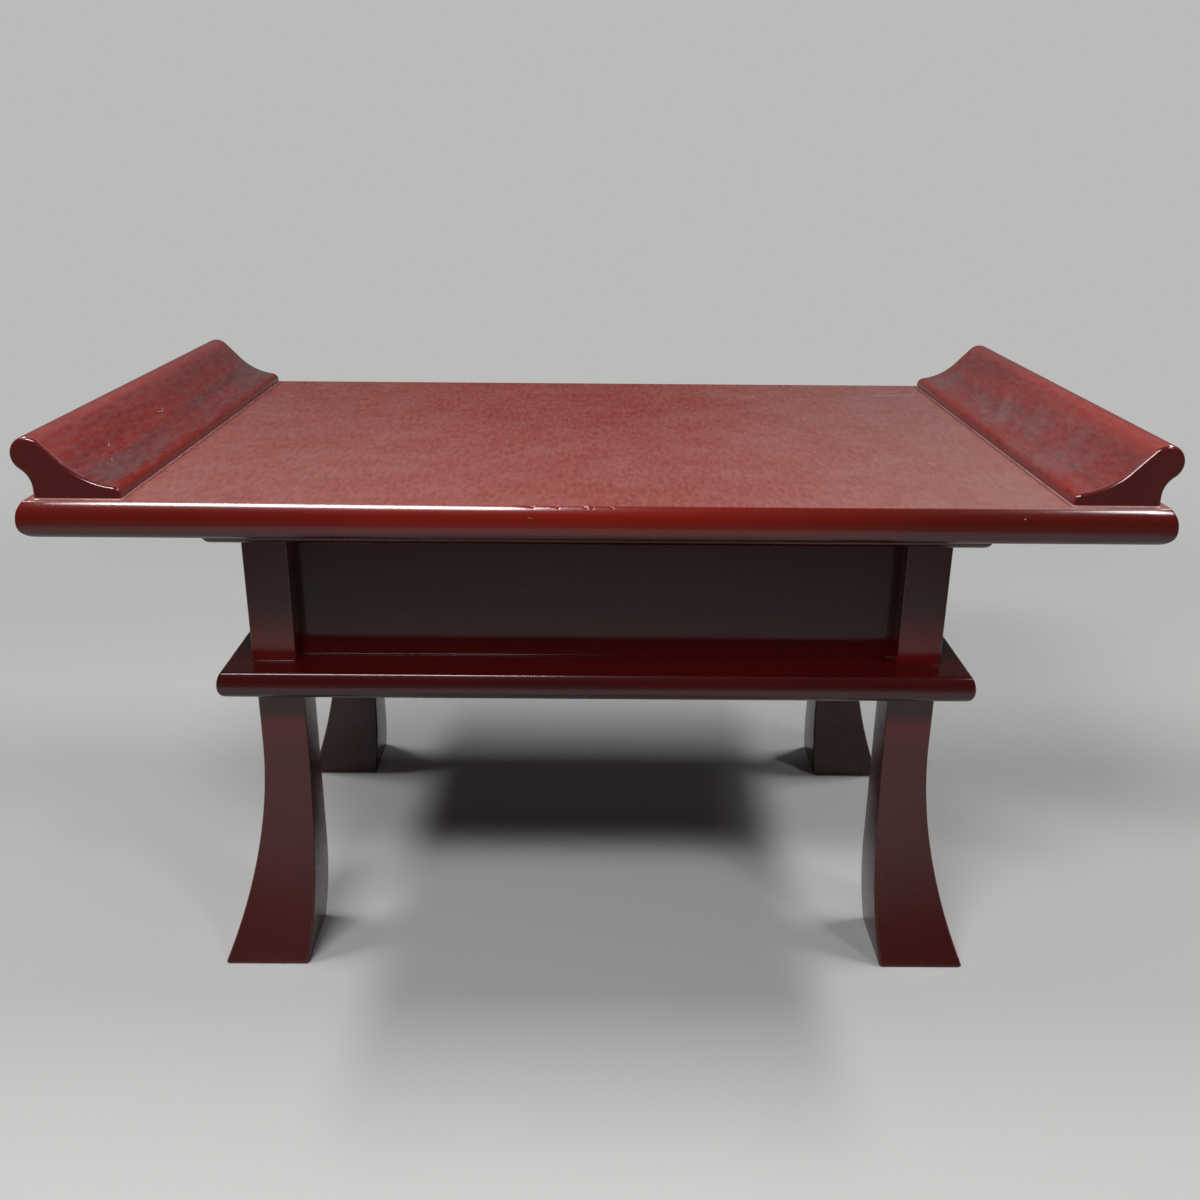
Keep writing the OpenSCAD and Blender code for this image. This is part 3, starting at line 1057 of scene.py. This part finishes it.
@dataclass(kw_only=True)
class ScrollEnd(Piece):
    """A rolled crest over a slope that runs out in a hollow to a rounded toe."""

    side: int
    foot_width: float = 45.5 * MM
    overhang: float = 9 * MM
    crest_radius: float = 9.5 * MM
    neck_radius: float = 12 * MM
    slope: float = 46.0
    hollow_radius: float = 40 * MM
    toe_height: float = 6.8 * MM
    toe_radius: float = 5 * MM
    rim_radius: float = 2.5 * MM

    def outline(self, outer: float, height: float) -> Array:
        """Outline seen from the front, on the right, with the writing surface at zero.

        It climbs the toe, follows the hollow and the straight slope, rolls over the crest and
        comes down through the neck to the upright outer face. Each arc leaves the last one in
        its own direction.

        Args:
            outer: Distance of the outer face from the table's middle.
            height: Height of the crest.

        Returns:
            The points of the closed outline.
        """
        crest = np.array([outer + self.overhang - self.crest_radius, height - self.crest_radius])
        toe = outer - self.foot_width
        up = np.radians(self.slope)
        ahead, off = np.array([np.cos(up), np.sin(up)]), np.array([-np.sin(up), np.cos(up)])
        from_crest = np.array([toe, self.toe_height]) - crest
        above = from_crest @ off - self.crest_radius
        run = math.sqrt(self.hollow_radius**2 - (above - self.hollow_radius) ** 2)
        straight = -from_crest @ ahead - run
        hollow = crest - straight * ahead + (self.crest_radius + self.hollow_radius) * off
        toe_x = toe + self.toe_radius
        reach = self.hollow_radius + self.toe_radius
        toe_z = hollow[1] - math.sqrt(reach**2 - (toe_x - hollow[0]) ** 2)
        turn = math.degrees(math.atan2(hollow[1] - toe_z, hollow[0] - toe_x))
        neck_x = outer + self.neck_radius
        neck_reach = self.crest_radius + self.neck_radius
        neck_z = crest[1] - math.sqrt(neck_reach**2 - (neck_x - crest[0]) ** 2)
        fall = math.degrees(math.atan2(neck_z - crest[1], neck_x - crest[0]))
        base = np.linspace(outer, toe, 12)
        return np.concatenate([
            [[toe, SHOULDER]],
            arc((toe_x, toe_z), self.toe_radius, 180, turn, 10),
            arc(hollow, self.hollow_radius, turn - 180, self.slope - 90, 26)[1:],
            arc(crest, self.crest_radius, self.slope + 90, fall, 52),
            arc((neck_x, neck_z), self.neck_radius, fall + 180, 180, 14)[1:],
            [[outer, SHOULDER]],
            np.stack([base, np.zeros_like(base)], 1),
        ])

    @staticmethod
    def mitres(outline: Array) -> Array:
        """Vector at each point that moves both edges there outwards by one.

        It is the sum of the two edges' normals over one plus their product.

        Args:
            outline: The closed outline, clockwise.

        Returns:
            One vector for each point.
        """
        edge = np.roll(outline, -1, 0) - outline
        normal = np.stack([-edge[:, 1], edge[:, 0]], 1) / np.linalg.norm(edge, axis=1)[:, None]
        before = np.roll(normal, 1, 0)
        return (normal + before) / (1 + np.sum(normal * before, 1))[:, None]

    def skin(self) -> Skin:
        """Carries the outline from front to back, with a small rounding at each end.

        Returns:
            The surface.
        """
        low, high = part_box(self.node)
        reach = max(abs(low.x), abs(high.x))
        outline = self.outline(reach - self.overhang, high.z - low.z)
        bend = np.radians(np.linspace(0, 90, 11))
        inset = np.append(self.rim_radius * (1 - np.cos(bend)), self.rim_radius + SHOULDER)
        y_end = np.append(high.y - self.rim_radius * (1 - np.sin(bend)), high.y)
        inset = np.concatenate([inset[::-1], inset])
        y = np.concatenate([-y_end[::-1], y_end])
        flat = outline[None] - inset[:, None, None] * self.mitres(outline)[None]
        # The foot stays on the writing surface
        flat[:, outline[:, 1] == 0, 1] = 0
        across = np.broadcast_to(y[:, None], flat.shape[:2])
        return Skin().tube(np.stack([self.side * flat[..., 0], across, low.z + flat[..., 1]], 2))


@dataclass(kw_only=True)
class Post(Piece):
    """A square corner post with softened arrises and a tenon on top."""

    arris_radius: float = 1.2 * MM
    tenon_arris: float = 0.36 * MM

    def skin(self) -> Skin:
        """Stacks square sections, wide up to the shoulder of the tenon and slim above.

        Returns:
            The surface.
        """
        low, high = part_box(self.node)
        middle, (wide, _) = footprint(self.node)
        top, slim = high.z - JOINERY.post_tenon, JOINERY.tenon_width / 2
        height = np.array([low.z, low.z + SHOULDER, top - SHOULDER, top, top, high.z])
        half = np.array([wide] * 4 + [slim] * 2)
        radius = np.array([self.arris_radius] * 4 + [self.tenon_arris] * 2)
        return Skin().tube(Plan.even().rings(middle, np.stack([half, half], 1), radius, height))


@dataclass(kw_only=True)
class Panel(Piece):
    """A flat panel whose edges stand in the grooves of posts and boards."""

    slot: str = "dark_lacquer"
    arris_radius: float = 0.4 * MM

    def skin(self) -> Skin:
        """Stacks rounded rectangles, a little smaller at the foot and at the top.

        Returns:
            The surface.
        """
        low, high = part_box(self.node)
        middle, half = footprint(self.node)
        soft = self.arris_radius
        height = np.array([low.z, low.z + soft, high.z - soft, high.z])
        inset = np.array([soft, 0, 0, soft])
        plan = Plan.even(12, 12, 4)
        return Skin().tube(plan.rings(middle, half - inset[:, None], np.full(4, soft), height))


@dataclass(kw_only=True)
class Leg(Piece):
    """A sabre leg that sweeps out to the side and to the front or back alike."""

    side: int
    end: int
    height: float = 174.5 * MM
    width: float = 27.5 * MM
    foot_sweep: float = 28 * MM
    sweep_height: float = 140 * MM
    heel_sweep: float = 4 * MM
    heel_height: float = 58 * MM
    arris_radius: float = 1.3 * MM
    foot_arris: float = 2.2 * MM
    sole_radius: float = 1.0 * MM
    tenon_arris: float = 0.4 * MM
    tenon_reach: float = 38.5 * MM

    @staticmethod
    def bow(height: Array, begin: float, sweep: float) -> Array:
        """How far a curve has swept out at each height.

        It is a circle that leaves the upright where the sweep begins and is sweep away at the
        floor.

        Args:
            height: Heights over the floor.
            begin: Height at which the sweep begins.
            sweep: Its reach at the floor.

        Returns:
            The reach at each height.
        """
        radius = (begin * begin + sweep * sweep) / (2 * sweep)
        fall = np.clip(begin - height, 0, None)
        return radius - np.sqrt(radius * radius - fall * fall)

    def skin(self) -> Skin:
        """Stacks square sections whose outer and inner faces follow the two bows.

        Returns:
            The surface.
        """
        low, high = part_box(self.node)
        outer = np.array([max(abs(low.x), abs(high.x)), max(abs(low.y), abs(high.y))]) - self.foot_sweep
        bend = np.radians(np.linspace(90, 0, 6))
        sole = self.sole_radius
        shaft = np.linspace(sole, self.height - SHOULDER, 60)[1:]
        height = np.concatenate([[0.0], sole * (1 - np.sin(bend)), shaft, [self.height]])
        inset = np.zeros(len(height))
        inset[0] = sole + SHOULDER
        inset[1:1 + len(bend)] = sole * (1 - np.cos(bend[::-1]))[::-1]
        out = self.bow(height, self.sweep_height, self.foot_sweep)
        heel = self.bow(height, self.heel_height, self.heel_sweep)
        near_foot = np.clip(1 - height / self.heel_height, 0, 1)
        radius = self.arris_radius + (self.foot_arris - self.arris_radius) * near_foot
        middle = outer + ((out + heel - self.width) / 2)[:, None]
        # Two more rings make the tenon
        half = np.append((out - heel + self.width) / 2 - inset, [JOINERY.tenon_width / 2] * 2)
        radius = np.append(radius, [self.tenon_arris] * 2)
        height = np.append(height, [self.height, self.height + self.tenon_reach])
        middle = np.concatenate([middle, [footprint("back_right_post")[0]] * 2]) * [self.side, self.end]
        return Skin().tube(Plan.even(1, 1, 8).rings(middle, np.stack([half, half], 1), radius, height))


@dataclass(kw_only=True)
class LacquerFillet(Piece):
    """The small hollow line that the lacquer leaves where an upright piece meets a board."""

    corners: Array
    level: float
    upwards: int
    arris_radius: float = 1.2 * MM
    width: float = 1.0 * MM
    sunk: float = 0.15 * MM

    def section(self) -> Array:
        """Distance from the upright face, and height over the board, round the section.

        The hollow is a quarter circle whose middle lies out and up by the width.

        Returns:
            The points of the closed section.
        """
        hollow = arc((self.width, self.width), self.width, 180, 270, 7)
        back = [[self.width, -self.sunk], [-self.sunk, -self.sunk], [-self.sunk, self.width]]
        return np.concatenate([hollow, back])

    def contour(self, away: Array) -> Array:
        """The outline that the section follows, moved outwards.

        A convex corner is a small arc round its own middle. At a hollow corner the outline
        moves by the sum of the two normals.

        Args:
            away: How far each section point lies outwards, shape (k,).

        Returns:
            Plan points by section point and place on the outline, shape (k, n, 2).
        """
        ahead = np.roll(self.corners, -1, 0) - self.corners
        ahead = ahead / np.linalg.norm(ahead, axis=1)[:, None]
        behind = np.roll(ahead, 1, 0)
        after = np.stack([ahead[:, 1], -ahead[:, 0]], 1)
        before = np.stack([behind[:, 1], -behind[:, 0]], 1)
        convex = behind[:, 0] * ahead[:, 1] - behind[:, 1] * ahead[:, 0] > 0
        bend = np.radians(np.linspace(0, 90, 5))[None, :, None]
        normal = before[:, None] * np.cos(bend) + after[:, None] * np.sin(bend)
        middle = self.corners - self.arris_radius * (before + after)
        shift = away[:, None, None, None]
        rounded = middle[None, :, None] + (self.arris_radius + shift) * normal[None]
        mitred = self.corners[None, :, None] + shift * (before + after)[None, :, None]
        return np.where(convex[None, :, None, None], rounded, mitred).reshape(len(away), -1, 2)

    def skin(self) -> Skin:
        """Carries the section round the outline.

        Returns:
            The surface.
        """
        section = self.section()
        flat = self.contour(section[:, 0])
        rise = (self.level + self.upwards * section[:, 1])[:, None, None]
        rings = np.concatenate([flat, np.broadcast_to(rise, (*flat.shape[:2], 1))], 2)
        return Skin().tube(rings, looped=True)


def box_contour() -> Array:
    """Plan of the box round its posts and its recessed panels, anticlockwise.

    Returns:
        Twenty corners, one row each.
    """
    low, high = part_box("back_right_post")
    panel_x, panel_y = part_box("right_panel")[1].x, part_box("back_panel")[1].y
    quarter = np.array([
        [panel_x, low.y], [high.x, low.y], [high.x, high.y], [low.x, high.y], [low.x, panel_y]
    ])
    mirrored = quarter[::-1]
    return np.concatenate([quarter, mirrored * [-1, 1], quarter * [-1, -1], mirrored * [1, -1]])


# The whole table


@dataclass
class SutraTable:
    """The table's pieces, built from the top down."""

    fixing_inset: float = 12 * MM
    screw_reach: float = 125 * MM
    dowel_reach: float = 55 * MM
    inner_reach: Spot = (120 * MM, 65 * MM)
    seam_width: float = 0.6 * MM
    looks: dict[str, bpy.types.Material] = field(init=False)

    def __post_init__(self) -> None:
        """Makes every finish once."""
        self.looks = {finish.name: finish.make() for finish in FINISHES}
        log.info("finishes: %s", ", ".join(self.looks))

    def top(self) -> None:
        """Builds the writing board and its two scroll ends."""
        low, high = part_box("top_board")
        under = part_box("under_top_board")[0].z
        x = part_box("right_scroll_end")[1].x - ScrollEnd.overhang - self.fixing_inset
        screws = [(side * x, y) for side in (-1, 1) for y in (-self.screw_reach, 0.0, self.screw_reach)]
        dowels = [(side * x, y) for side in (-1, 1) for y in (-self.dowel_reach, self.dowel_reach)]
        inner_x, inner_y = self.inner_reach
        inner = [(x, y) for x in (-inner_x, 0.0, inner_x) for y in (-inner_y, inner_y)]
        deep, over = JOINERY.dowel_half + JOINERY.end_gap, JOINERY.overshoot
        joints = Cutter().screw_holes(screws, low.z, JOINERY.long_screw)
        joints.screw_holes(inner, under, JOINERY.short_screw)
        joints.dowel_holes(dowels, high.z - deep, high.z + over)
        MouldedBoard(
            name="writing_board", node="top_board", slot="lacquered_top", lip=4 * MM,
            underside_radius=9.5 * MM, arris_radius=0.8 * MM, corner_radius=2 * MM, chips=CHIPS,
        ).build(self.looks["lacquer_top"], joints)
        bores = Cutter().screw_holes(screws, low.z, JOINERY.long_screw)
        bores.dowel_holes(dowels, high.z - over, high.z + deep)
        for word, side in SIDES.items():
            scroll = ScrollEnd(name=f"{word}_scroll", node=f"{word}_scroll_end", side=side)
            scroll.build(self.looks["lacquer_scroll"], bores)

    def box(self) -> None:
        """Builds the two box boards, the posts and the panels."""
        gap, over = JOINERY.end_gap, JOINERY.overshoot
        groove = JOINERY.groove_depth + gap
        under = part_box("under_top_board")[0].z
        low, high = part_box("tier_board")
        joints = Cutter().mortises(under - over, under + JOINERY.post_tenon + gap)
        joints.grooves(under - over, under + groove)
        MouldedBoard(
            name="under_board", node="under_top_board", lip=3 * MM, underside_radius=7.5 * MM,
            arris_radius=1.0 * MM, corner_radius=4 * MM,
        ).build(self.looks["shaded_board_lacquer"], joints)
        joints = Cutter().mortises(low.z - over, high.z + over)
        joints.grooves(high.z - groove, high.z + over)
        MouldedBoard(
            name="tier", node="tier_board", lip=3 * MM, underside_radius=7.5 * MM,
            arris_radius=1.6 * MM, corner_radius=3 * MM,
        ).build(self.looks["shaded_board_lacquer"], joints)
        low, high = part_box("back_right_post")
        grooves = Cutter().grooves(low.z - over, high.z - JOINERY.post_tenon + over)
        socket = Cutter().mortises(low.z - over, low.z + JOINERY.leg_tenon + gap)
        for place, _, _ in CORNERS:
            post = Post(name=f"{place}_upright", node=f"{place}_post")
            post.build(self.looks["lacquer_upright"], grooves, socket)
        for place in (*ENDS, *SIDES):
            Panel(name=f"{place}_board", node=f"{place}_panel").build(self.looks["shaded_panel_lacquer"])

    def stand(self) -> None:
        """Builds the four legs."""
        for place, side, end in CORNERS:
            leg = Leg(name=f"{place}_sabre_leg", node=f"{place}_leg", side=side, end=end)
            leg.build(self.looks["lacquer_upright"])

    def fillets(self) -> None:
        """Builds the fillets round the box, the legs' heads and the scroll ends' feet."""
        line, seam = self.looks["shaded_line_lacquer"], self.looks["seam_residue_and_highlight"]
        tier_low, tier_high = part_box("tier_board")
        for word, level, upwards in (
            ("foot", tier_high.z, 1), ("head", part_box("under_top_board")[0].z, -1)
        ):
            LacquerFillet(
                name=f"box_{word}_fillet", slot="dark_lacquer", corners=box_contour(), level=level,
                upwards=upwards,
            ).build(line)
        outer = np.array(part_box("back_right_leg")[1].xy - Vector((1, 1)) * Leg.foot_sweep)
        for place, side, end in CORNERS:
            corners = rectangle(outer * [side, end], (outer - Leg.width) * [side, end])
            LacquerFillet(
                name=f"{place}_leg_fillet", corners=corners, level=tier_low.z, upwards=-1
            ).build(line)
        for word, side in SIDES.items():
            low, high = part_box(f"{word}_scroll_end")
            inner, reach = sorted((abs(low.x), abs(high.x)))
            corners = rectangle((side * (reach - ScrollEnd.overhang), low.y), (side * inner, high.y))
            LacquerFillet(
                name=f"{word}_scroll_fillet", corners=corners, level=low.z, upwards=1,
                width=self.seam_width,
            ).build(seam)

    def kept_nodes(self) -> None:
        """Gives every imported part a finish, shown or not."""
        for name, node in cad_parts.items():
            plain = "shaded_panel_lacquer" if name.endswith("panel") else "lacquer_upright"
            for slot in node.material_slots:
                slot.material = self.looks[NODE_FINISHES.get(name, plain)]
            log.info("%s: finish given", name)

    def build(self) -> None:
        """Builds the whole table in order."""
        self.top()
        self.box()
        self.stand()
        self.fillets()
        self.kept_nodes()


# Studio


@dataclass
class Camera:
    """The camera, at the place and angle that the photograph was taken from."""

    place: Point = (-0.00110, -0.76806, 0.47614)
    pitch_down: float = 20.63
    roll: float = 0.48
    yaw: float = 0.24
    focal_pixels: float = 1206.87
    frame_pixels: float = 1200.0
    sensor: float = 36.0
    clip: Spot = (0.01, 100.0)

    def build(self) -> None:
        """Makes the camera and sets it as the scene's."""
        pitch, roll, yaw = (math.radians(v) for v in (self.pitch_down, self.roll, self.yaw))
        ahead = Vector((
            math.sin(yaw) * math.cos(pitch), math.cos(yaw) * math.cos(pitch), -math.sin(pitch)
        ))
        level = Vector((math.cos(yaw), -math.sin(yaw), 0.0))
        over = level.cross(ahead)
        right = math.cos(roll) * level + math.sin(roll) * over
        up = right.cross(ahead)
        data = bpy.data.cameras.new("camera")
        data.sensor_width = self.sensor
        data.lens = self.sensor * self.focal_pixels / self.frame_pixels
        data.clip_start, data.clip_end = self.clip
        camera = bpy.data.objects.new("camera", data)
        turn = Matrix((right, up, -ahead)).transposed().to_4x4()
        camera.matrix_world = Matrix.Translation(self.place) @ turn
        bpy.context.scene.collection.objects.link(camera)
        bpy.context.scene.camera = camera
        log.info("camera: lens %.2f mm", data.lens)


@dataclass
class SoftBox:
    """A rectangular lamp with a soft front, turned towards one point."""

    name: str
    place: Point
    size: Spot
    power: float
    aim: Point = (0.0, 0.0, 0.3)

    def build(self) -> None:
        """Makes the lamp."""
        data = bpy.data.lights.new(self.name, "AREA")
        data.shape = "RECTANGLE"
        data.size, data.size_y = self.size
        data.energy = self.power
        lamp = bpy.data.objects.new(self.name, data)
        away = Vector(self.place) - Vector(self.aim)
        turn = away.to_track_quat("Z", "Y").to_matrix().to_4x4()
        lamp.matrix_world = Matrix.Translation(self.place) @ turn
        lamp.visible_camera = False
        bpy.context.scene.collection.objects.link(lamp)
        log.info("%s: %.1f W", self.name, self.power)


LAMPS = (
    SoftBox("left_lamp", (-1.0, 0.12, 1.5), (0.6, 0.12), 9.8),
    SoftBox("right_lamp", (1.0, 0.12, 1.5), (0.6, 0.12), 10.8),
    SoftBox("front_left_lamp", (-0.48, -1.04, 1.48), (0.79, 0.24), 13.2),
    SoftBox("front_right_lamp", (1.02, -1.04, 1.48), (0.25, 0.24), 3.9),
    SoftBox("back_lamp", (0.2, 1.0, 1.6), (0.8, 0.3), 0.4),
)


@dataclass
class Studio:
    """A pale floor that runs into a plain pale sky, soft lamps and the camera.

    The floor and sky are pale to look at and in reflections. The light that they send back to
    the table is weaker, as in a room with dark walls.
    """

    floor_colour: Colour = srgb(212, 212, 210)
    mirrored_colour: Colour = srgb(170, 170, 169)
    bounce_colour: Colour = srgb(102, 100, 98)
    sky_colour: Colour = srgb(187, 188, 186)
    fill: float = 0.045
    floor_strength: Spot = (0.2, 0.45)
    sky_strength: Spot = (0.08, 0.18)
    floor_half: float = 30.0
    fade: Spot = (0.38, 1.3)
    mirrored_fade: Spot = (0.5, 1.2)

    @staticmethod
    def rays(recipe: Recipe) -> tuple[Wire, Wire]:
        """Which rays are looking, apart from the light that things get.

        Args:
            recipe: The graph.

        Returns:
            1 for a ray from the camera, and 1 for one from the camera, a reflection or clear glass.
        """
        camera, glossy, clear = (
            recipe.node("ShaderNodeLightPath", {}, f"Is {kind} Ray")
            for kind in ("Camera", "Glossy", "Transmission")
        )
        return camera, recipe.math("MINIMUM", camera + glossy + clear, 1.0)

    @staticmethod
    def mirrored(recipe: Recipe, ahead: Wire, strength: Spot) -> Wire:
        """Strength of the surroundings in a reflection, dark in front and lighter behind.

        Args:
            recipe: The graph.
            ahead: Direction that the reflection looks in.
            strength: Strength in front of the table and behind it.

        Returns:
            The strength.
        """
        behind = recipe.split(ahead)[1].ease(-0.3, 0.5)
        return behind * (strength[1] - strength[0]) + strength[0]

    def floor(self) -> None:
        """Makes the floor: a wide flat square just under the feet."""
        corners = np.array([[-1, -1, 0], [1, -1, 0], [1, 1, 0], [-1, 1, 0]]) * self.floor_half
        mesh = bpy.data.meshes.new("floor")
        mesh.from_pydata(corners.astype(float), [], [[0, 1, 2, 3]])
        floor = bpy.data.objects.new("floor", mesh)
        recipe = Recipe.material("floor_paper")
        camera, seen = self.rays(recipe)
        shown = recipe.mix(camera, self.mirrored_colour, self.floor_colour)
        paper = recipe.principled({
            "Base Color": recipe.mix(seen, self.bounce_colour, shown),
            "Roughness": 0.9,
            "Specular IOR Level": 0.1,
        })
        away = recipe.vector("LENGTH", recipe.place, output=1)
        share = camera * away.ease(*self.fade) + (seen - camera) * away.ease(*self.mirrored_fade)
        ahead = recipe.vector("NORMALIZE", recipe.place)
        strength = camera + (1.0 - camera) * self.mirrored(recipe, ahead, self.floor_strength)
        sky = recipe.node("ShaderNodeEmission", {"Color": (*self.sky_colour, 1.0), "Strength": strength})
        mesh.materials.append(recipe.end(recipe.node("ShaderNodeMixShader", {0: share, 1: paper, 2: sky})))
        bpy.context.scene.collection.objects.link(floor)

    def sky(self) -> None:
        """Makes the world: pale to look at, darker in reflections, weak on things."""
        recipe = Recipe(bpy.data.worlds.new("studio"))
        camera, seen = self.rays(recipe)
        mirrored = self.mirrored(recipe, recipe.place, self.sky_strength)
        strength = camera + (1.0 - camera) * (seen * mirrored + (1.0 - seen) * self.fill)
        sockets = {"Color": (*self.sky_colour, 1.0), "Strength": strength}
        shader = recipe.node("ShaderNodeBackground", sockets)
        bpy.context.scene.world = recipe.end(shader, "ShaderNodeOutputWorld")

    def build(self) -> None:
        """Builds the studio and sets the plain view transform."""
        self.floor()
        self.sky()
        for lamp in LAMPS:
            lamp.build()
        Camera().build()
        bpy.context.scene.view_settings.view_transform = "Standard"


def main() -> None:
    """Builds the studio and the table."""
    logging.basicConfig(level=logging.INFO, format="%(name)s: %(message)s")
    Studio().build()
    SutraTable().build()


if __name__ == "__main__":
    main()
